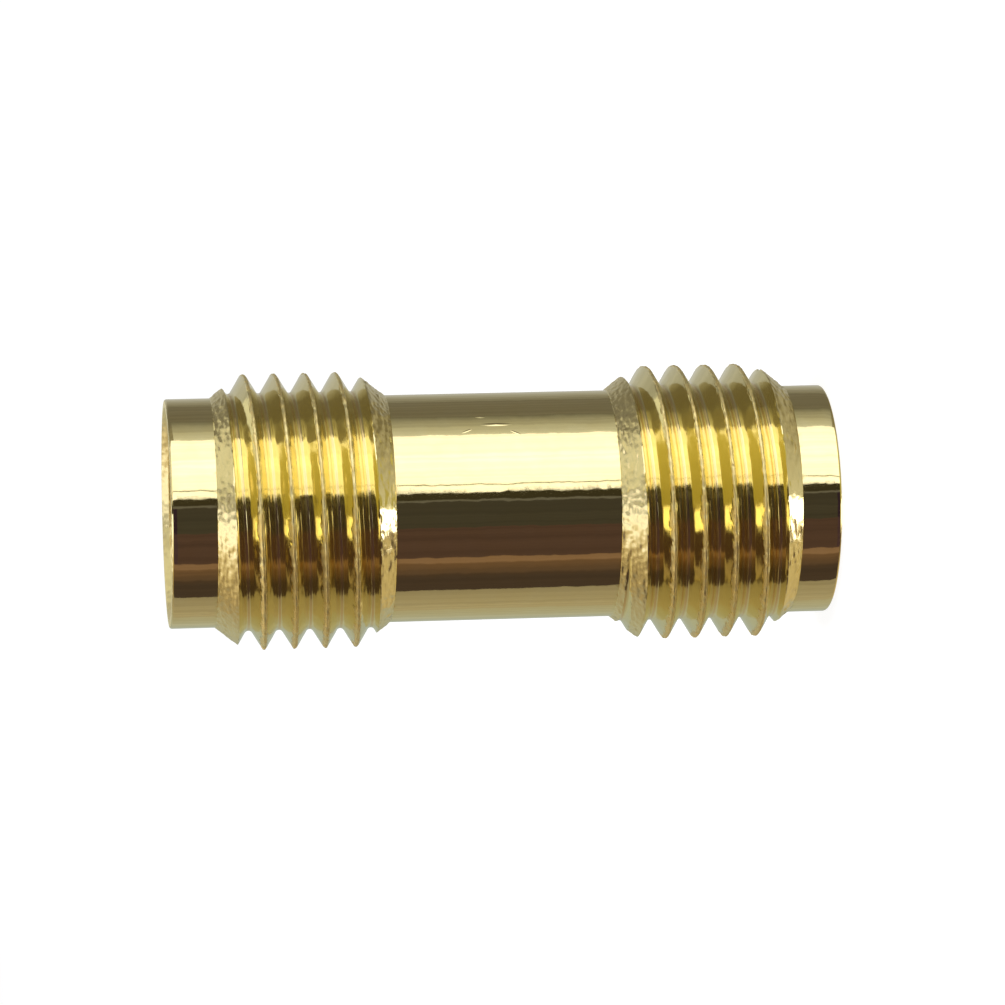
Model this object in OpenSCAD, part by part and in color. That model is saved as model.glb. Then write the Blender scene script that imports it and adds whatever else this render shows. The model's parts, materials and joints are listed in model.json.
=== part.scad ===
// Straight coax adapter with a threaded jack at each end, standing on its lower rim.
// The origin is at the middle of the lower rim, and +Z runs up the axis.

/* [Body] */
// Length of each threaded end, from its rim to the barrel
end_length = 5.06; // [4.4:0.02:9]
// Length of the smooth barrel between the threads
barrel_length = 5.12; // [3:0.02:12]
// Diameter of the barrel
barrel_diameter = 5.24; // [5.1:0.01:5.4]
// Diameter of the smooth nose at each end
nose_diameter = 5.27; // [5.1:0.01:5.4]
// Length of the lower nose, from its rim to the thread
lower_nose_length = 0.9; // [0.4:0.01:1.5]
// Length of the upper nose, from its rim to the thread
upper_nose_length = 1.03; // [0.4:0.01:1.5]
// Bevel round the outer edge of each rim
rim_bevel = 0.06; // [0.02:0.01:0.1]

/* [Thread] */
// Diameter over the crests
thread_diameter = 6.35; // [6.24:0.01:6.6]
// Distance from crest to crest along the axis
thread_pitch = 0.7056; // [0.62:0.0004:0.8]
// Depth from crest to root
thread_depth = 0.44; // [0.3:0.01:0.46]
// Width of the flat on a crest
crest_width = 0.1; // [0.05:0.01:0.15]
// Width of the flat in a root
root_width = 0.1; // [0.05:0.01:0.15]
// Run of the chamfers at a thread's ends, along the axis, for each millimetre of their rise
chamfer_run = 1.25; // [0.8:0.05:1.6]
// Height above the lower rim at which a crest of the lower thread faces +X
lower_crest_height = 2; // [1.7:0.01:3.5]
// Depth below the upper rim at which a crest of the upper thread faces +X
upper_crest_depth = 1.83; // [1.7:0.01:3.5]
// Flat sides in one turn of the thread
thread_sides = 36; // [24:4:48]

/* [Bore] */
// Diameter of the mouth that takes the plug, at each end
mouth_diameter = 4.6; // [4.4:0.01:4.8]
// Depth of each mouth, from the rim to its floor
mouth_depth = 1.9; // [1.4:0.01:2.6]
// Bevel round the inner edge of each rim
mouth_bevel = 0.15; // [0.02:0.01:0.2]
// Diameter of the bore that holds the insulators
cavity_diameter = 4.1; // [3.6:0.01:4.3]

/* [Insulators] */
// Gap all round between an insulator and the bore
insulator_clearance = 0.02; // [0.01:0.005:0.05]
// Gap between the contact and the insulators that hold it
contact_clearance = 0.02; // [0.01:0.005:0.05]

/* [Centre contact] */
// Diameter of the contact
contact_diameter = 1.27; // [1.15:0.01:1.5]
// Depth of each end of the contact below the floor of its mouth
contact_recess = 0.05; // [0:0.01:0.2]
// Diameter of the socket in each end
socket_diameter = 0.94; // [0.84:0.01:1]
// Depth of each socket
socket_depth = 2.9; // [2.4:0.05:4]
// Bevel round the entry of each socket
socket_bevel = 0.08; // [0.02:0.01:0.1]
// Width of the slots that part each socket into four fingers
slot_width = 0.15; // [0.1:0.01:0.18]
// Length of the slots
slot_length = 2.3; // [1.5:0.05:2.4]
// Diameter of the collar that the insulators trap
collar_diameter = 1.9; // [1.6:0.05:3]
// Length of the collar
collar_length = 1.2; // [0.8:0.05:2]

/* [Hidden] */
$fn = 96;

gold = "#d8b85a";
ptfe = "#f2f1ec";
contact_gold = "#d2ae52";

// How far a cutting or joining solid runs past the face that it meets
overrun = 0.06;
// Rows of the thread that lie nearer than this to its end are moved onto the end
row_snap = 0.02;

overall_length = 2 * end_length + barrel_length;
middle = overall_length / 2;
nose_radius = nose_diameter / 2;
barrel_radius = barrel_diameter / 2;
thread_radius = thread_diameter / 2;
mouth_radius = mouth_diameter / 2;
cavity_radius = cavity_diameter / 2;
contact_radius = contact_diameter / 2;
socket_radius = socket_diameter / 2;
collar_radius = collar_diameter / 2;
insulator_length = middle - mouth_depth;
contact_half = insulator_length - contact_recess;

// One pitch of the thread: height above the middle of a crest, and depth below the crest
flank = (thread_pitch - crest_width - root_width) / 2;
thread_outline = [
    [-crest_width / 2, 0],
    [crest_width / 2, 0],
    [(crest_width + flank) / 2, thread_depth / 2],
    [crest_width / 2 + flank, thread_depth],
    [crest_width / 2 + flank + root_width, thread_depth],
    [crest_width / 2 + flank * 3 / 2 + root_width, thread_depth / 2]
];

function round_point(radius, side, z) =
    [radius * cos(360 * side / thread_sides), radius * sin(360 * side / thread_sides), z];

// A right-hand thread from low to high, where its chamfers leave the radii low_radius and high_radius.
// Rows of points follow the helix, and are cut to the chamfers and to the ends of the solid.
module thread(low, low_radius, high, high_radius, crest_height) {
    bottom = low - overrun * chamfer_run;
    top = high + overrun * chamfer_run;
    rows_per_turn = len(thread_outline);
    first_turn = floor((bottom - crest_height) / thread_pitch) - 1;
    turns = ceil((top - bottom) / thread_pitch) + 4;
    rows = turns * rows_per_turn;

    function blank_radius(z) =
        min(thread_radius, low_radius + (z - low) / chamfer_run, high_radius + (high - z) / chamfer_run);
    function row_height(row, side) =
        crest_height + thread_outline[row % rows_per_turn][0]
        + thread_pitch * (first_turn + floor(row / rows_per_turn) + side / thread_sides);
    function row_radius(row, z) =
        min(thread_radius - thread_outline[row % rows_per_turn][1], blank_radius(z));
    function row_point(row, side) =
        let(z = row_height(row, side)) round_point(row_radius(row, z), side, z);
    // Column thread_sides is column 0 again, one turn further up the helix
    function index(row, side) =
        side == thread_sides ? index(row + rows_per_turn, 0) :
        row_height(row, side) < bottom + row_snap ? side :
        row_height(row, side) > top - row_snap ? thread_sides + side :
        2 * thread_sides + 2 + side * rows + row;
    function has_area(face) = face[0] != face[1] && face[1] != face[2] && face[2] != face[0];

    points = concat(
        [for (side = [0:thread_sides - 1]) round_point(blank_radius(bottom), side, bottom)],
        [for (side = [0:thread_sides - 1]) round_point(blank_radius(top), side, top)],
        [[0, 0, bottom], [0, 0, top]],
        [for (side = [0:thread_sides - 1]) for (row = [0:rows - 1]) row_point(row, side)]
    );
    wall = [
        for (side = [0:thread_sides - 1])
        for (row = [0:rows - rows_per_turn - 2])
        for (face = [
            [index(row, side), index(row + 1, side), index(row + 1, side + 1)],
            [index(row, side), index(row + 1, side + 1), index(row, side + 1)]
        ])
        if (has_area(face)) face
    ];
    ends = [
        for (side = [0:thread_sides - 1])
        let(next = (side + 1) % thread_sides)
        for (face = [
            [2 * thread_sides, side, next],
            [2 * thread_sides + 1, thread_sides + next, thread_sides + side]
        ]) face
    ];
    polyhedron(points, concat(wall, ends));
}

// The noses and the barrel, whose radii change under the threads
module plain_body() {
    rotate_extrude()
        polygon([
            [0, 0],
            [nose_radius - rim_bevel, 0],
            [nose_radius, rim_bevel],
            [nose_radius, end_length / 2],
            [barrel_radius, end_length / 2],
            [barrel_radius, overall_length - end_length / 2],
            [nose_radius, overall_length - end_length / 2],
            [nose_radius, overall_length - rim_bevel],
            [nose_radius - rim_bevel, overall_length],
            [0, overall_length]
        ]);
}

// Everything that is bored out of the body: two mouths and the cavity between their floors
module bore() {
    entry_radius = mouth_radius + mouth_bevel;
    rotate_extrude()
        polygon([
            [0, -overrun],
            [entry_radius, -overrun],
            [entry_radius, 0],
            [mouth_radius, mouth_bevel],
            [mouth_radius, mouth_depth],
            [cavity_radius, mouth_depth],
            [cavity_radius, overall_length - mouth_depth],
            [mouth_radius, overall_length - mouth_depth],
            [mouth_radius, overall_length - mouth_bevel],
            [entry_radius, overall_length],
            [entry_radius, overall_length + overrun],
            [0, overall_length + overrun]
        ]);
}

module body() {
    color(gold)
    difference() {
        union() {
            plain_body();
            thread(lower_nose_length, nose_radius, end_length, barrel_radius, lower_crest_height);
            thread(
                overall_length - end_length, barrel_radius,
                overall_length - upper_nose_length, nose_radius,
                overall_length - upper_crest_depth
            );
        }
        bore();
    }
}

// A sleeve from its outer face at the mouth's floor up to its inner face, with half a seat for the collar
module insulator() {
    hole_radius = contact_radius + contact_clearance;
    seat_radius = collar_radius + contact_clearance;
    seat_floor = insulator_length - collar_length / 2 - contact_clearance;
    outer_radius = cavity_radius - insulator_clearance;
    color(ptfe)
    rotate_extrude()
        polygon([
            [hole_radius, 0],
            [outer_radius, 0],
            [outer_radius, insulator_length],
            [seat_radius, insulator_length],
            [seat_radius, seat_floor],
            [hole_radius, seat_floor]
        ]);
}

module lower_insulator() {
    translate([0, 0, mouth_depth])
        insulator();
}

module upper_insulator() {
    translate([0, 0, overall_length - mouth_depth])
        mirror([0, 0, 1])
            insulator();
}

// Half of the contact, from the middle of its collar up to the entry of its socket
module contact_end() {
    difference() {
        rotate_extrude()
            polygon([
                [0, 0],
                [collar_radius, 0],
                [collar_radius, collar_length / 2],
                [contact_radius, collar_length / 2],
                [contact_radius, contact_half],
                [socket_radius + socket_bevel, contact_half],
                [socket_radius, contact_half - socket_bevel],
                [socket_radius, contact_half - socket_depth],
                [0, contact_half - socket_depth]
            ]);
        for (turn = [0, 90])
            rotate([0, 0, turn])
                translate([-collar_radius, -slot_width / 2, contact_half - slot_length])
                    cube([collar_diameter, slot_width, slot_length + overrun]);
    }
}

module centre_contact() {
    color(contact_gold)
    translate([0, 0, middle])
        for (flip = [0, 1])
            mirror([0, 0, flip])
                contact_end();
}

body();
lower_insulator();
upper_insulator();
centre_contact();
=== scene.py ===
import json
import math

import bmesh
import bpy
from mathutils import Matrix, Vector, noise


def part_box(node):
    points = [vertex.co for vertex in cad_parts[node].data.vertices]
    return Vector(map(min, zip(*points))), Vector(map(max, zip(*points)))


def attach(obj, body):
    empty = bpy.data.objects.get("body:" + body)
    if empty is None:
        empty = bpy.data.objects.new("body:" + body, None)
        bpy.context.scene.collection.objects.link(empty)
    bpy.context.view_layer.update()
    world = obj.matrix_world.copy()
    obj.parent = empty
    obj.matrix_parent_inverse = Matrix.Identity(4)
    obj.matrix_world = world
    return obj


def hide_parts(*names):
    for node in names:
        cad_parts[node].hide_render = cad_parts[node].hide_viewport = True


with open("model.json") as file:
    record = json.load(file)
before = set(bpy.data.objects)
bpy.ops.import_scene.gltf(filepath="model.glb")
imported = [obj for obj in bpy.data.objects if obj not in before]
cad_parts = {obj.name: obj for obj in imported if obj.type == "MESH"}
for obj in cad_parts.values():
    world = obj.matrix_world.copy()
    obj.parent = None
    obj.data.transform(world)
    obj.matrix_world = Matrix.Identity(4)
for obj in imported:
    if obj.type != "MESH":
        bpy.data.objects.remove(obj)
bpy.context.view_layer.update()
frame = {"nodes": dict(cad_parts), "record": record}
mm = 0.001  # the meshes below are drawn in millimetres and scaled to metres once, at the end
tiny = 1e-5  # millimetres; a difference that is only rounding
print("frame loaded:", sorted(frame["nodes"]))

mounts = {mount["name"]: mount for mount in frame["record"]["mounts"]}
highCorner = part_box("body")[1]
overallLength = highCorner[2] / mm
threadRadius = highCorner[0] / mm
mouthRadius = mounts["upper_mouth"]["dims"]["r_mm"]


# helpers for colours, numbers and nodes

def linear(hexColour):
    channels = [int(hexColour[i:i + 2], 16) / 255 for i in (1, 3, 5)]
    return [c / 12.92 if c <= 0.04045 else ((c + 0.055) / 1.055) ** 2.4 for c in channels] + [1.0]


def addNode(tree, kind, settings=None, links=None):
    node = tree.nodes.new(kind)
    for name, value in (settings or {}).items():
        if isinstance(name, str) and hasattr(node, name):
            setattr(node, name, value)
        else:
            node.inputs[name].default_value = value
    for name, source in (links or {}).items():
        tree.links.new(source, node.inputs[name])
    return node


def clamp(value, least=0, most=1):
    return min(max(value, least), most)


def newMaterial(name):
    material = bpy.data.materials.new(name)
    material.use_nodes = True
    material.node_tree.nodes.clear()
    return material, material.node_tree


# helpers for meshes

def drawPath(bm, points):
    verts = [bm.verts.new((radius, 0.0, z)) for radius, z in points]
    for first, second in zip(verts, verts[1:]):
        bm.edges.new((first, second))
    return verts


def roundCorners(bm, verts, radius, segments):
    bmesh.ops.bevel(bm, geom=verts, offset=radius, offset_type="OFFSET", affect="VERTICES",
                    segments=segments, profile=0.5, material=-1)


def finishPiece(name, bm, body, node, material, sharpAngle):
    for face in bm.faces:
        face.smooth = True
    for edge in bm.edges:
        if edge.calc_face_angle(0) > math.radians(sharpAngle):
            edge.smooth = False
    bmesh.ops.scale(bm, vec=(mm, mm, mm), verts=bm.verts)
    mesh = bpy.data.meshes.new(name)
    bm.to_mesh(mesh)
    bm.free()
    mesh.materials.append(material)
    piece = bpy.data.objects.new(name, mesh)
    bpy.context.scene.collection.objects.link(piece)
    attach(piece, body)
    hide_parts(node)
    triangles = sum(len(polygon.vertices) - 2 for polygon in mesh.polygons)
    print("made", name, len(mesh.polygons), "faces,", triangles, "triangles")


# the adapter stands, so what faces up on it faces left in the picture, and +X is up there
bodyShape = {
    "sides": 216,              # faces in a turn
    "noseRadius": 2.635,
    "barrelRadius": 2.62,
    "endLength": 5.06,         # rim to barrel
    "lowerNose": 0.9,          # rim to thread
    "upperNose": 1.03,
    "rimRound": 0.05,
    "rimSegments": 4,
    "mouthDepth": 1.9,
    "mouthBevel": 0.15,
    "cavityRadius": 2.05,
    "edgeRing": 0.1,           # rings of points this far from a plain length's edges keep its shading even
    "rimRing": 0.2,            # the same from a rim
    "weld": 0.002,             # points nearer to each other than this are merged
    "sharpAngle": 25,          # degrees; an edge that turns more stays sharp
    "pitch": 0.7056,
    "depth": 0.45,             # crest to root
    "crestWidth": 0.05,
    "rootWidth": 0.109,
    "crestRound": 0.02,
    "crestSegments": 2,
    "rootRound": 0.054,        # just short of half the root, which makes it fully round
    "rootSegments": 5,
    "rootShadeBand": 0.008,         # height of the bottom of a root, whose darker gold is painted shade in the recess
    "rowStep": 0.05,           # longest step along the thread's outline
    "chamferRun": 1.25,        # along the axis for each millimetre of rise
    "lowerCrest": 2.01,        # height at which a lower crest faces +X
    "upperCrest": 1.805,       # depth below the upper rim at which an upper crest faces +X
    "snap": 0.006,             # points this near a thread's ends are moved onto them
    "fade": 0.06,              # unevenness fades out this near a thread's ends
    "nicksPerMm": 9.0,         # fine and coarse unevenness
    "patchesPerMm": 5.0,
    "grain": 0.022,            # height of the nicks in chamfers and crests
    "sink": 0.35,              # nicks cut in more than they stand out
    "waver": 0.0045,           # unevenness of everything on the thread
    "waverNicks": 0.8,         # share of the nicks in it
    "flankFrost": 0.02,
    "upFrost": 0.72,           # frosting of the chamfers that face up
    "downFrost": 0.15,         # frosting of the chamfers that face down, where the lamp shows in them
    "pittedFrost": 0.5,        # added to it elsewhere
    "pittedLumps": 1.2,        # height of the pits there, against that of other nicks
    "pittedNicks": 0.7,        # share that nicks and patches each have in them
    "lampX": 0.2,              # where along X the lamp shows
    "lampHalf": 0.4,           # and how far to each side of that
    "leastPitted": 0.06,       # pitting that is left there
    "crestFrost": 1.0,
    "frostDepth": 0.022,       # how far the frosting reaches down from a crest
    "lowSideUp": 0.12,         # the same on the low side of the picture, on flanks that face up
    "lowSideDown": 0.04,       # and on flanks that face down
    "lowSideFrom": 0.3,        # the low side starts here along X
    "lowSideRamp": 1.5,        # and comes on at this rate for each millimetre
    "patchSway": 0.8,          # how far patches move the edge of the frosting
    "frostEdge": 3,            # sharpness of that edge
    "wear": 0.6,               # wear of the crests
    "wearNicks": 1.2,          # how much the nicks change it
    "highSideWearPaintedLight": 0.55,      # share of it on the high side of the picture; the low side keeps full wear as painted light, matte gold where the crests would mirror dark
}


# gold plate on brass: polished on the barrel, so it mirrors the studio with slightly rippled edges, while
# grooves mirror it two or three times over, which deepens their gold. Attributes mark the thread's finish:
# frost is the grain of chamfers and crests that no polish reached, worn is where crests are rubbed dull and
# is made heavier on the low side of the picture as painted light, and screw is 1 on flanks and 2 at the
# bottom of roots, which get a darker gold as painted shade

goldLook = {
    "colour": "#f9eab5",
    "deep": "#f7e4a8",      # mixed into it by the ripple
    "groove": "#f5e6aa",
    # darker gold at the bottom of the roots: painted shade in the recess
    "root": "#eed292",
    "polish": 0.05,
    "frosted": 0.36,
    "grooveBlur": 0.05,     # roughness that flanks have beyond the barrel's, and roots twice
    # gold of rubbed crests; heavier on the low side of the picture, where it is painted light
    "worn": "#eac874",
    "wornMetal": 0.35,      # worn crests scatter light, so they are drawn as part metal
    "rippleSize": 0.42,     # millimetres
    "rippleHeight": 0.0042,
    "grainSize": 0.15,
    "grainHeight": 0.016,
    "scuffHeight": 0.008,
    "scuffs": [
        # height up the axis, degrees round from the front, length, width, degrees of slant
        (7.80, 45.0, 0.74, 0.10, 0),
        (8.14, 50.9, 0.24, 0.08, 4),
        (7.37, 39.2, 0.28, 0.05, 30),
        (8.48, 40.9, 0.26, 0.05, -25),
    ],
}


def goldPlate(name, look):
    material, tree = newMaterial(name)
    place = addNode(tree, "ShaderNodeTexCoord")
    frost = addNode(tree, "ShaderNodeAttribute", {"attribute_name": "frost"})
    ripple = addNode(tree, "ShaderNodeTexNoise",
                     {"Scale": 1 / (look["rippleSize"] * mm), "Detail": 1.6, "Roughness": 0.45},
                     {"Vector": place.outputs["Object"]})
    grain = addNode(tree, "ShaderNodeTexVoronoi",
                    {"feature": "SMOOTH_F1", "Scale": 1 / (look["grainSize"] * mm), "Smoothness": 0.5},
                    {"Vector": place.outputs["Object"]})
    screw = addNode(tree, "ShaderNodeAttribute", {"attribute_name": "screw"})
    tint = addNode(tree, "ShaderNodeMix",
                   {"data_type": "RGBA", 6: linear(look["colour"]), 7: linear(look["deep"])},
                   {0: ripple.outputs["Fac"]})
    flank = addNode(tree, "ShaderNodeMix", {"data_type": "RGBA", 7: linear(look["groove"])},
                    {0: screw.outputs["Fac"], 6: tint.outputs[2]})
    # screw above 1 marks the bottom of the roots, which take the darker root gold as painted shade
    rootShade = addNode(tree, "ShaderNodeMath", {"operation": "SUBTRACT", 1: 1.0}, {0: screw.outputs["Fac"]})
    colour = addNode(tree, "ShaderNodeMix", {"data_type": "RGBA", 7: linear(look["root"])},
                     {0: rootShade.outputs["Value"], 6: flank.outputs[2]})
    rough = addNode(tree, "ShaderNodeMapRange",
                    {"To Min": look["polish"], "To Max": look["frosted"]},
                    {"Value": frost.outputs["Fac"]})
    grooveRough = addNode(tree, "ShaderNodeMath", {"operation": "MULTIPLY_ADD", 1: look["grooveBlur"]},
                          {0: screw.outputs["Fac"], 2: rough.outputs["Result"]})
    rippleBump = addNode(tree, "ShaderNodeBump", {"Strength": 1.0, "Distance": look["rippleHeight"] * mm},
                         {"Height": ripple.outputs["Fac"]})
    grainHeight = addNode(tree, "ShaderNodeMath", {"operation": "MULTIPLY"},
                          {0: grain.outputs["Distance"], 1: frost.outputs["Fac"]})
    grainBump = addNode(tree, "ShaderNodeBump", {"Strength": 1.0, "Distance": look["grainHeight"] * mm},
                        {"Height": grainHeight.outputs["Value"], "Normal": rippleBump.outputs["Normal"]})
    normal = grainBump.outputs["Normal"]
    radius = bodyShape["barrelRadius"]
    for height, angle, length, width, slant in look["scuffs"]:
        turn = math.radians(angle)
        middle = Vector((math.sin(turn) * radius, -math.cos(turn) * radius, height))
        spot = addNode(tree, "ShaderNodeMapping",
                       {"vector_type": "TEXTURE", "Location": middle * mm,
                        "Rotation": (0, math.radians(slant), turn),
                        "Scale": Vector((width, 1, length)) * mm / 2},
                       {"Vector": place.outputs["Object"]})
        dome = addNode(tree, "ShaderNodeTexGradient", {"gradient_type": "SPHERICAL"},
                       {"Vector": spot.outputs["Vector"]})
        scuff = addNode(tree, "ShaderNodeBump", {"Strength": 1.0, "Distance": look["scuffHeight"] * mm},
                        {"Height": dome.outputs["Fac"], "Normal": normal})
        normal = scuff.outputs["Normal"]
    worn = addNode(tree, "ShaderNodeAttribute", {"attribute_name": "worn"})
    bare = addNode(tree, "ShaderNodeMath", {"operation": "POWER", 1: 2.0}, {0: worn.outputs["Fac"]})
    metal = addNode(tree, "ShaderNodeMapRange", {"To Min": 1.0, "To Max": look["wornMetal"]},
                    {"Value": bare.outputs["Value"]})
    surface = addNode(tree, "ShaderNodeMix", {"data_type": "RGBA", 7: linear(look["worn"])},
                      {0: worn.outputs["Fac"], 6: colour.outputs[2]})
    shader = addNode(tree, "ShaderNodeBsdfPrincipled", None,
                     {"Base Color": surface.outputs[2], "Roughness": grooveRough.outputs["Value"],
                      "Metallic": metal.outputs["Result"], "Normal": normal})
    addNode(tree, "ShaderNodeOutputMaterial", None, {"Surface": shader.outputs["BSDF"]})
    return material


# white PTFE, turned: waxy, with fine rings from the facing tool

ptfeLook = {
    "colour": "#f1f0ea",
    "ringColour": "#e6e4dc",
    "ringSpacing": 0.12,    # millimetres; drawn coarse enough to show
    "ringHeight": 0.004,
    "waveLength": 0.314,    # of the wave node at a scale of 1
    "roughness": 0.42,
    "ior": 1.36,
}


def turnedPtfe(name, look):
    material, tree = newMaterial(name)
    place = addNode(tree, "ShaderNodeTexCoord")
    rings = addNode(tree, "ShaderNodeTexWave",
                    {"wave_type": "RINGS", "rings_direction": "Z",
                     "Scale": look["waveLength"] / (look["ringSpacing"] * mm),
                     "Distortion": 0.6, "Detail": 2.0},
                    {"Vector": place.outputs["Object"]})
    bump = addNode(tree, "ShaderNodeBump", {"Strength": 0.4, "Distance": look["ringHeight"] * mm},
                   {"Height": rings.outputs["Fac"]})
    shade = addNode(tree, "ShaderNodeMix",
                    {"data_type": "RGBA", 6: linear(look["colour"]), 7: linear(look["ringColour"])},
                    {0: rings.outputs["Fac"]})
    shader = addNode(tree, "ShaderNodeBsdfPrincipled", {"Roughness": look["roughness"], "IOR": look["ior"]},
                     {"Base Color": shade.outputs[2], "Normal": bump.outputs["Normal"]})
    addNode(tree, "ShaderNodeOutputMaterial", None, {"Surface": shader.outputs["BSDF"]})
    return material


# gold plate on beryllium copper: as polished as the barrel, in a deeper gold without scuffs

contactLook = dict(goldLook, colour="#eed391", deep="#e4c37a", scuffs=[])

goldMaterial = goldPlate("gold_plate_on_brass", goldLook)
contactMaterial = goldPlate("gold_plate_on_beryllium_copper", contactLook)
ptfeMaterial = turnedPtfe("turned_ptfe", ptfeLook)
print("materials ready")


# body: two screw threads, joined by a spun barrel and by a spun path through noses, rims and bore

def addLayers(bm):
    for name in ("frost", "screw", "worn"):
        bm.verts.layers.float.new(name)
    return [bm.verts.layers.float[name] for name in ("frost", "screw", "worn")]


def joinInto(target, bm):
    mesh = bpy.data.meshes.new("section")
    bm.to_mesh(mesh)
    bm.free()
    target.from_mesh(mesh)
    bpy.data.meshes.remove(mesh)


def drawThreadOutline(bm, shape, crestZ):
    crest = threadRadius
    root = threadRadius - shape["depth"]
    half = shape["pitch"] / 2
    points = [(root, -half), (root, -half + shape["rootWidth"] / 2), (crest, -shape["crestWidth"] / 2),
              (crest, shape["crestWidth"] / 2), (root, half - shape["rootWidth"] / 2), (root, half)]
    verts = drawPath(bm, [(radius, crestZ + z) for radius, z in points])
    roundCorners(bm, [verts[1], verts[4]], shape["rootRound"], shape["rootSegments"])
    atCrest = [v for v in bm.verts if v.co.x > crest - tiny]
    roundCorners(bm, atCrest, shape["crestRound"], shape["crestSegments"])
    for edge in bm.edges[:]:
        cuts = math.ceil(edge.calc_length() / shape["rowStep"]) - 1
        if cuts > 0:
            bmesh.ops.subdivide_edges(bm, edges=[edge], cuts=cuts)


# frost and lumps of a chamfer: even where it faces up, and pitted away from the lamp where it faces down
def chamferFinish(shape, x, facesUp, nick, patch):
    if facesUp:
        return shape["upFrost"], nick - shape["sink"]
    pitted = clamp(abs(x - shape["lampX"]) - shape["lampHalf"], shape["leastPitted"])
    lumps = shape["pittedLumps"] * pitted * (shape["pittedNicks"] * (nick + patch) - shape["sink"])
    return shape["downFrost"] + shape["pittedFrost"] * pitted, lumps


# frost, wear and lumps of a point that lies at a depth below the crests
def crestFinish(shape, x, depth, flankUp, nick, patch):
    lowSide = clamp(shape["lowSideRamp"] * (shape["lowSideFrom"] - x))
    lowReach = shape["lowSideUp"] if flankUp else shape["lowSideDown"]
    reach = shape["frostDepth"] + lowSide * (lowReach - shape["frostDepth"])
    nearCrest = clamp((1 - depth / reach + shape["patchSway"] * patch) * shape["frostEdge"])
    wear = clamp(shape["wear"] + shape["wearNicks"] * nick)
    # the high side keeps less wear than the low side: painted light, matte gold where the crests would
    # mirror dark
    wear *= shape["highSideWearPaintedLight"] + (1 - shape["highSideWearPaintedLight"]) * lowSide
    frosting = max(shape["crestFrost"] * nearCrest, shape["flankFrost"])
    return frosting, nearCrest * wear, nearCrest * (nick - shape["sink"])


def addThread(target, shape, low, lowRadius, high, highRadius, crestZ):
    bm = bmesh.new()
    frost, screw, worn = addLayers(bm)
    sides, pitch, run = shape["sides"], shape["pitch"], shape["chamferRun"]
    turnsBelow = math.ceil((crestZ - low) / pitch) + 1
    turns = turnsBelow + math.ceil((high - crestZ) / pitch) + 1
    drawThreadOutline(bm, shape, crestZ - turnsBelow * pitch)
    bmesh.ops.spin(bm, geom=bm.verts[:] + bm.edges[:], cent=(0, 0, 0), axis=(0, 0, 1),
                   dvec=(0, 0, pitch / sides), angle=math.tau, steps=sides)
    firstTurn = bm.verts[:] + bm.edges[:] + bm.faces[:]
    for turn in range(1, turns):
        copy = bmesh.ops.duplicate(bm, geom=firstTurn)["geom"]
        copiedVerts = [element for element in copy if isinstance(element, bmesh.types.BMVert)]
        bmesh.ops.translate(bm, vec=(0, 0, turn * pitch), verts=copiedVerts)
    # cut the helix to the turned blank: a chamfer at each end, square ends
    for vert in bm.verts:
        x, y, z = vert.co
        z = low if z < low + shape["snap"] else high if z > high - shape["snap"] else z
        radius = vert.co.xy.length
        blank = min(threadRadius, lowRadius + (z - low) / run, highRadius + (high - z) / run)
        cut = min(radius, blank)
        # the bottom of each root is marked 2 for its darker gold, which is painted shade
        vert[screw] = 2.0 if radius < threadRadius - shape["depth"] + shape["rootShadeBand"] else 1.0
        if low < z < high:
            place = Vector((x, y, z))
            nick = noise.noise(place * shape["nicksPerMm"])
            patch = noise.noise(place * shape["patchesPerMm"])
            if radius > blank - tiny and blank < threadRadius - tiny:
                facesUp = highRadius + (high - z) / run < blank + tiny
                vert[screw] = 0.0
                vert[frost], lumps = chamferFinish(shape, x, facesUp, nick, patch)
            else:
                pastCrest = ((z - crestZ) / pitch - math.atan2(y, x) / math.tau) % 1
                flankUp = pastCrest < 0.5
                depth = threadRadius - cut
                vert[frost], vert[worn], lumps = crestFinish(shape, x, depth, flankUp, nick, patch)
            fade = min((z - low) / shape["fade"], (high - z) / shape["fade"], 1)
            waver = shape["waver"] * (patch + shape["waverNicks"] * nick)
            cut = min(cut + fade * (shape["grain"] * lumps + waver), threadRadius)
        vert.co = (x * cut / radius, y * cut / radius, z)
    bmesh.ops.remove_doubles(bm, verts=bm.verts, dist=shape["weld"])
    joinInto(target, bm)


def addLathed(target, shape, points, rounded):
    bm = bmesh.new()
    addLayers(bm)
    verts = drawPath(bm, points)
    if rounded:
        roundCorners(bm, [verts[i] for i in rounded], shape["rimRound"], shape["rimSegments"])
    bmesh.ops.spin(bm, geom=bm.verts[:] + bm.edges[:], cent=(0, 0, 0), axis=(0, 0, 1), dvec=(0, 0, 0),
                   angle=math.tau, steps=shape["sides"], use_merge=True)
    joinInto(target, bm)


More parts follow.
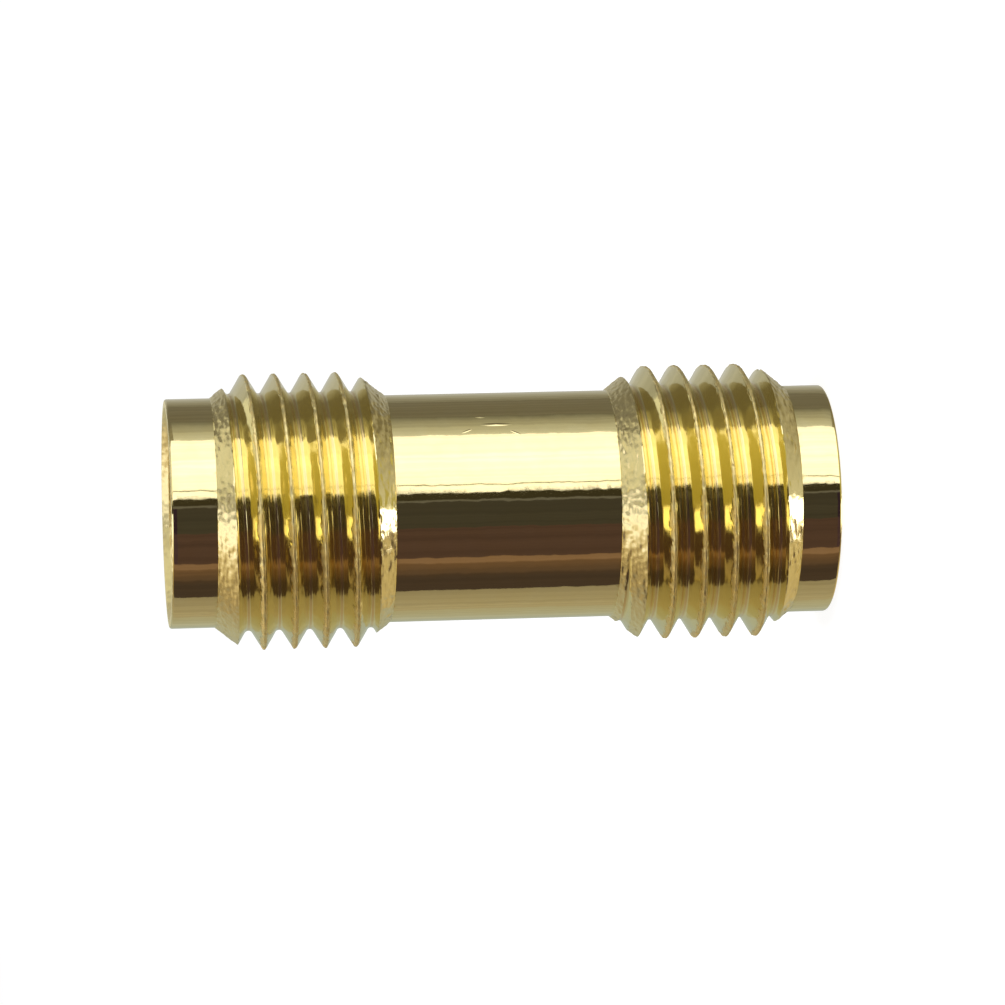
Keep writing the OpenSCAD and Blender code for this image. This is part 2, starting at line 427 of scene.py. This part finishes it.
def makeBody(shape):
    top, end = overallLength, shape["endLength"]
    nose, barrel = shape["noseRadius"], shape["barrelRadius"]
    depth, entry = shape["mouthDepth"], mouthRadius + shape["mouthBevel"]
    ring = shape["edgeRing"]
    bm = bmesh.new()
    frost = addLayers(bm)[0]
    addThread(bm, shape, shape["lowerNose"], nose, end, barrel, shape["lowerCrest"])
    addThread(bm, shape, top - end, barrel, top - shape["upperNose"], nose, top - shape["upperCrest"])
    addLathed(bm, shape, [(barrel, z) for z in (end, end + ring, top - end - ring, top - end)], [])
    rim = [(nose, shape["rimRing"]), (nose, 0), (entry, 0), (mouthRadius, shape["mouthBevel"]),
           (mouthRadius, depth), (shape["cavityRadius"], depth)]
    path = [(nose, shape["lowerNose"]), (nose, shape["lowerNose"] - ring)] + rim
    path += [(radius, top - z) for radius, z in reversed(path)]
    path[-2:] = [(nose, top - shape["upperNose"] + ring), (nose, top - shape["upperNose"])]
    outerEdge = path.index((nose, 0))
    addLathed(bm, shape, path, [outerEdge, len(path) - 1 - outerEdge])
    bmesh.ops.remove_doubles(bm, verts=bm.verts, dist=shape["weld"])
    bmesh.ops.dissolve_degenerate(bm, dist=1e-4, edges=bm.edges)
    bmesh.ops.recalc_face_normals(bm, faces=bm.faces)
    # the bevels round the mouths are frosted too
    for vert in bm.verts:
        fromRim = min(vert.co.z, top - vert.co.z)
        if vert.co.xy.length < nose - shape["rimRound"] / 2 and fromRim < shape["mouthBevel"] + tiny:
            vert[frost] = 1.0
    # the rings where threads meet noses and barrel stay sharp
    seams = [shape["lowerNose"], end, top - end, top - shape["upperNose"]]
    for edge in bm.edges:
        if any(all(abs(vert.co.z - seam) < shape["weld"] / 2 for vert in edge.verts) for seam in seams):
            edge.smooth = False
    print("body edges that aren't manifold:", len([e for e in bm.edges if not e.is_manifold]))
    finishPiece("adapter_body", bm, "root", "body", goldMaterial, shape["sharpAngle"])


makeBody(bodyShape)

# the pieces inside keep the frame's own meshes

insideMaterials = {
    "lower_insulator": ptfeMaterial,
    "upper_insulator": ptfeMaterial,
    "centre_contact": contactMaterial,
}
for node, material in insideMaterials.items():
    slots = frame["nodes"][node].data.materials
    slots.clear()
    slots.append(material)
print("dressed", *insideMaterials)

# camera: rolled so that the adapter, which stands, lies across the picture with its upper end at the left

cameraView = {
    "position": (0.075, -104.06, 19.56),  # millimetres
    "tilt": 6.622,                        # degrees down
    "roll": 1.42,                         # degrees, right end up
    "lens": 162.17,
    "sensor": 36.0,                       # its width
    "clipStart": 5.0,
}


def makeCamera(view):
    tilt, roll = math.radians(view["tilt"]), math.radians(view["roll"])
    back = Vector((0, -math.cos(tilt), math.sin(tilt)))
    level = Vector((0, -math.sin(tilt), -math.cos(tilt)))
    right = level * math.cos(roll) - Vector((1, 0, 0)) * math.sin(roll)
    up = level * math.sin(roll) + Vector((1, 0, 0)) * math.cos(roll)
    data = bpy.data.cameras.new("camera")
    data.lens = view["lens"]
    data.sensor_width = view["sensor"]
    data.clip_start = view["clipStart"] * mm
    camera = bpy.data.objects.new("camera", data)
    turn = Matrix((right, up, back)).transposed().to_4x4()
    camera.matrix_world = Matrix.Translation(Vector(view["position"]) * mm) @ turn
    bpy.context.scene.collection.objects.link(camera)
    bpy.context.scene.camera = camera


makeCamera(cameraView)
print("camera placed")

# studio: pale floor, and a ring of upright cards that only the gold sees, named for what each one shows it.
# Angles go round the adapter from the camera's side towards the top of the picture.

studio = {
    "wallDistance": 60.0,   # millimetres
    "wallLow": -32.0,
    "wallHigh": 55.0,
    "wallStep": 2,          # degrees
    "sillAngle": 14.0,      # degrees; the window's ragged lower edge
    "sillRagged": 6.5,
    "sillWaves": [
        # waves for each millimetre, place in the noise, height
        (5.0, (0.4, 0.7), 1.0),
        (11.0, (0.4, 3.3), 0.7),
    ],
    "sillOverlap": 2.0,
    "sillSteps": 600,
    "sillColour": "#3a3628",
    "streakWidth": 3.5,
    "streakStretch": 20,    # how much longer than wide
    "streaks": 0.14,        # how much they lighten and darken a card
    "walls": [
        # name, from and to in degrees, colour at each edge, strength
        ("light_line", 5, 7, "#636261", "#636261", 1.0),
        ("black_edge", 7, 14, "#3a3628", "#3a3628", 1.0),
        ("window_sill", 14, 21.3, "#f0f0f0", "#f0f0f0", 1.6),
        ("window_bar", 21.3, 22.3, "#8c8c70", "#8c8c70", 1.0),
        ("window_low", 22.3, 46, "#f0f0f0", "#ffffff", 1.6),
        ("window_high", 46, 76, "#ffffff", "#eeeeee", 1.6),
        ("shade_low", 76, 87, "#8a8674", "#8a8674", 1.0),
        ("shade_high", 87, 102, "#8a8674", "#706d65", 1.0),
        ("grey_wall", 102, 132, "#706d65", "#706d65", 1.0),
        ("far_wall", 132, 180, "#7a786f", "#d4d6d2", 1.0),
        ("far_table", -180, -125, "#b2bcb4", "#aaa898", 1.0),
        ("near_table", -125, -91, "#ada692", "#928b7b", 1.0),
        ("brown_edge", -91, -74, "#453a36", "#453a36", 1.0),
        ("brown_fade", -74, -57, "#453a36", "#6e5645", 1.0),
        ("brown_strip", -57, -51, "#836958", "#836958", 1.0),
        ("red_shade", -51, -20, "#473640", "#473640", 1.0),
        ("dark_front", -20, 5, "#302434", "#302434", 1.0),
    ],
    "cardDistance": 59.0,   # short cards, before the walls
    "cardReach": 18.0,
    "cards": [
        ("pale_card", 76, 87, "#d2d4ce", "#b0b0a4", 1.0),
        ("shade_card", 87, 102, "#b0b0a4", "#74736a", 1.0),
        ("red_card", -51, -20, "#4e3d3a", "#4e3d3a", 1.0),
        ("dark_card", -20, 5, "#403d38", "#403d38", 1.0),
    ],
    "plates": [
        # name, height, from and to along x, from and to along y, colour at each end of x, strength
        ("left_brown", 70.0, -250, -48, -250, 250, "#9e8e6d", "#9e8e6d", 1.0),
        ("left_warm", 70.0, -48, -24, -250, 250, "#b8a47c", "#f0e0b8", 1.0),
        ("left_bright", 70.0, -24, -0.5, -250, 250, "#ffffff", "#ffffff", 1.4),
        ("left_stripe", 70.0, -0.5, 10.5, -250, 250, "#3a3224", "#3a3224", 1.0),
        ("left_middle", 70.0, 10.5, 52, -250, 250, "#e0dfcc", "#e4e3d2", 1.0),
        ("left_dim", 70.0, 52, 250, -250, 250, "#76756a", "#76756c", 1.0),
        ("right_near", -60.0, -5, 115, -250, -12, "#ada460", "#dcd488", 1.0),
        ("right_edge", -60.0, 115, 250, -250, -12, "#807553", "#807553", 1.0),
        ("right_grey", -60.0, -5, 60, -12, 250, "#d6d3be", "#8a846c", 1.0),
        ("right_far", -60.0, 60, 250, -12, 250, "#746c52", "#746c52", 1.0),
        ("right_pale", -60.0, -100, -5, -5, 250, "#b0a07c", "#d8c89c", 1.0),
        ("right_shade", -60.0, -100, -5, -250, -5, "#a89a86", "#8a7a66", 1.0),
        ("right_dark", -59.0, -82, -27, -70, -10, "#4a3a34", "#4a3a34", 1.0),
        ("right_table", -60.0, -250, -100, -250, 250, "#a69a78", "#a69a78", 1.0),
        ("right_lamp", -45.0, -11.5, -0.6, -13, 7, "#ffffff", "#ffffff", 4.0),
        ("right_lamp_near", -45.0, -27, -5, -56, -24, "#fffad0", "#fffad0", 1.8),
    ],
    "lamps": [
        # name, place, point that it faces, width in millimetres, watts
        ("side_lamp", (200, -120, 8), (0, 0, 8), 120, 0.2),
        ("top_lamp", (0, 0, 160), (0, 0, 8), 60, 0.11),
    ],
    "world": "#d8d8d6",
    "worldStrength": 0.8,
}


def cardMaterial():
    material, tree = newMaterial("card_light")
    glow = addNode(tree, "ShaderNodeAttribute", {"attribute_name": "glow"})
    place = addNode(tree, "ShaderNodeTexCoord")
    upright = addNode(tree, "ShaderNodeMapping", {"Scale": (1, 1, 1 / studio["streakStretch"])},
                      {"Vector": place.outputs["Object"]})
    streaks = addNode(tree, "ShaderNodeTexNoise",
                      {"Scale": 1 / (studio["streakWidth"] * mm), "Detail": 3.0, "Roughness": 0.65},
                      {"Vector": upright.outputs["Vector"]})
    level = addNode(tree, "ShaderNodeMapRange",
                    {"From Min": 0.3, "From Max": 0.7,
                     "To Min": 1 - studio["streaks"], "To Max": 1 + studio["streaks"]},
                    {"Value": streaks.outputs["Fac"]})
    light = addNode(tree, "ShaderNodeEmission", None,
                    {"Color": glow.outputs["Color"], "Strength": level.outputs["Result"]})
    addNode(tree, "ShaderNodeOutputMaterial", None, {"Surface": light.outputs["Emission"]})
    return material


def placeCard(name, bm, material):
    bmesh.ops.scale(bm, vec=(mm, mm, mm), verts=bm.verts)
    mesh = bpy.data.meshes.new(name)
    bm.to_mesh(mesh)
    bm.free()
    mesh.materials.append(material)
    card = bpy.data.objects.new(name, mesh)
    bpy.context.scene.collection.objects.link(card)
    card.visible_camera = False
    card.visible_diffuse = False
    card.visible_shadow = False


def makeWall(setup, material, name, start, end, startColour, endColour, strength):
    bm = bmesh.new()
    glow = bm.verts.layers.float_color.new("glow")
    angle = math.radians(start)
    base = Vector((math.sin(angle), -math.cos(angle), 0)) * setup["wallDistance"]
    foot = bm.verts.new(base + Vector((0, 0, setup["wallLow"])))
    head = bm.verts.new(base + Vector((0, 0, setup["wallHigh"])))
    edge = bm.edges.new((foot, head))
    bmesh.ops.spin(bm, geom=[foot, head, edge], cent=(0, 0, 0), axis=(0, 0, 1), dvec=(0, 0, 0),
                   angle=math.radians(end - start), steps=max(2, int((end - start) / setup["wallStep"])))
    first, last = Vector(linear(startColour)), Vector(linear(endColour))
    # the share is counted from a quarter turn before the start, so that rounding can't make it a whole turn
    for vert in bm.verts:
        turned = math.degrees(math.atan2(vert.co.x, -vert.co.y)) - start
        share = ((turned + 90) % 360 - 90) / (end - start)
        vert[glow] = first.lerp(last, share) * strength
    placeCard(name, bm, material)


def makePlate(material, name, height, lowX, highX, lowY, highY, lowColour, highColour, strength):
    bm = bmesh.new()
    glow = bm.verts.layers.float_color.new("glow")
    bmesh.ops.create_grid(bm, x_segments=1, y_segments=1, size=0.5)
    bmesh.ops.scale(bm, vec=(highX - lowX, highY - lowY, 1), verts=bm.verts)
    bmesh.ops.translate(bm, vec=((lowX + highX) / 2, (lowY + highY) / 2, height), verts=bm.verts)
    for vert in bm.verts:
        vert[glow] = Vector(linear(lowColour if vert.co.x < (lowX + highX) / 2 else highColour)) * strength
    placeCard(name, bm, material)


# the ragged edge hangs before the window, and its straight edge reaches down over the wall below
def makeSill(setup, material):
    bm = bmesh.new()
    glow = bm.verts.layers.float_color.new("glow")
    bmesh.ops.create_grid(bm, x_segments=1, y_segments=setup["sillSteps"], size=0.5)
    for vert in bm.verts:
        z = setup["wallLow"] + (vert.co.y + 0.5) * (setup["wallHigh"] - setup["wallLow"])
        ragged = 0
        for waves, place, height in setup["sillWaves"]:
            ragged += height * noise.noise(Vector((*place, z * waves)))
        shift = setup["sillRagged"] * ragged if vert.co.x > 0 else -setup["sillOverlap"]
        angle = math.radians(setup["sillAngle"] + shift)
        vert.co = Vector((math.sin(angle), -math.cos(angle), 0)) * setup["wallDistance"]
        vert.co.z = z
        vert[glow] = Vector(linear(setup["sillColour"]))
    placeCard("ragged_sill", bm, material)


# soft light for what scatters it: worn crests and the insulators; the gold mirrors the cards alone
def makeLamp(name, place, target, width, power):
    data = bpy.data.lights.new(name, "AREA")
    data.energy = power
    data.size = width * mm
    lamp = bpy.data.objects.new(name, data)
    lamp.location = Vector(place) * mm
    lamp.rotation_euler = (Vector(target) - Vector(place)).to_track_quat("-Z", "Y").to_euler()
    lamp.visible_glossy = False
    bpy.context.scene.collection.objects.link(lamp)


# the plain white backdrop is for the camera, and for what it sees mirrored or through a piece
def seesBackdrop(tree):
    path = addNode(tree, "ShaderNodeLightPath")
    indirect = addNode(tree, "ShaderNodeMath", {"operation": "MAXIMUM"},
                       {0: path.outputs["Is Glossy Ray"], 1: path.outputs["Is Transmission Ray"]})
    either = addNode(tree, "ShaderNodeMath", {"operation": "MAXIMUM"},
                     {0: path.outputs["Is Camera Ray"], 1: indirect.outputs["Value"]})
    return either.outputs["Value"]


floorLook = {
    "halfWidth": 6000,      # millimetres
    "sink": 0.001,          # below the rim, so that no faces lie in one plane
    "paint": "#959595",
    "glow": 0.87,           # with the light on the paint it makes white
}


def makeFloor(look):
    bm = bmesh.new()
    bmesh.ops.create_grid(bm, x_segments=1, y_segments=1, size=look["halfWidth"] * mm)
    bmesh.ops.translate(bm, vec=(0, 0, -look["sink"] * mm), verts=bm.verts)
    mesh = bpy.data.meshes.new("floor")
    bm.to_mesh(mesh)
    bm.free()
    material, tree = newMaterial("white_floor")
    paint = addNode(tree, "ShaderNodeBsdfDiffuse", {"Color": linear(look["paint"])})
    glow = addNode(tree, "ShaderNodeEmission", {"Color": linear("#ffffff"), "Strength": look["glow"]})
    both = addNode(tree, "ShaderNodeAddShader", None, {0: paint.outputs[0], 1: glow.outputs[0]})
    pick = addNode(tree, "ShaderNodeMixShader", None,
                   {0: seesBackdrop(tree), 1: paint.outputs[0], 2: both.outputs[0]})
    addNode(tree, "ShaderNodeOutputMaterial", None, {"Surface": pick.outputs[0]})
    mesh.materials.append(material)
    floor = bpy.data.objects.new("floor", mesh)
    bpy.context.scene.collection.objects.link(floor)
    # in the photo the part lies on its side, so its mirrored bands run on past the end that stands here
    floor.visible_glossy = False


def makeWorld(setup):
    world = bpy.data.worlds.new("studio")
    world.use_nodes = True
    tree = world.node_tree
    tree.nodes.clear()
    soft = addNode(tree, "ShaderNodeBackground",
                   {"Color": linear(setup["world"]), "Strength": setup["worldStrength"]})
    white = addNode(tree, "ShaderNodeBackground", {"Color": linear("#ffffff"), "Strength": 1.0})
    pick = addNode(tree, "ShaderNodeMixShader", None,
                   {0: seesBackdrop(tree), 1: soft.outputs[0], 2: white.outputs[0]})
    addNode(tree, "ShaderNodeOutputWorld", None, {"Surface": pick.outputs[0]})
    bpy.context.scene.world = world


cardLight = cardMaterial()
for wall in studio["walls"]:
    makeWall(studio, cardLight, *wall)
cardReach = studio["cardReach"]
shortCards = dict(studio, wallDistance=studio["cardDistance"], wallLow=-cardReach, wallHigh=cardReach)
for card in studio["cards"]:
    makeWall(shortCards, cardLight, *card)
for plate in studio["plates"]:
    makePlate(cardLight, *plate)
makeSill(shortCards, cardLight)
for lamp in studio["lamps"]:
    makeLamp(*lamp)
makeFloor(floorLook)
makeWorld(studio)
bpy.context.scene.view_settings.view_transform = "Standard"
print("studio ready")
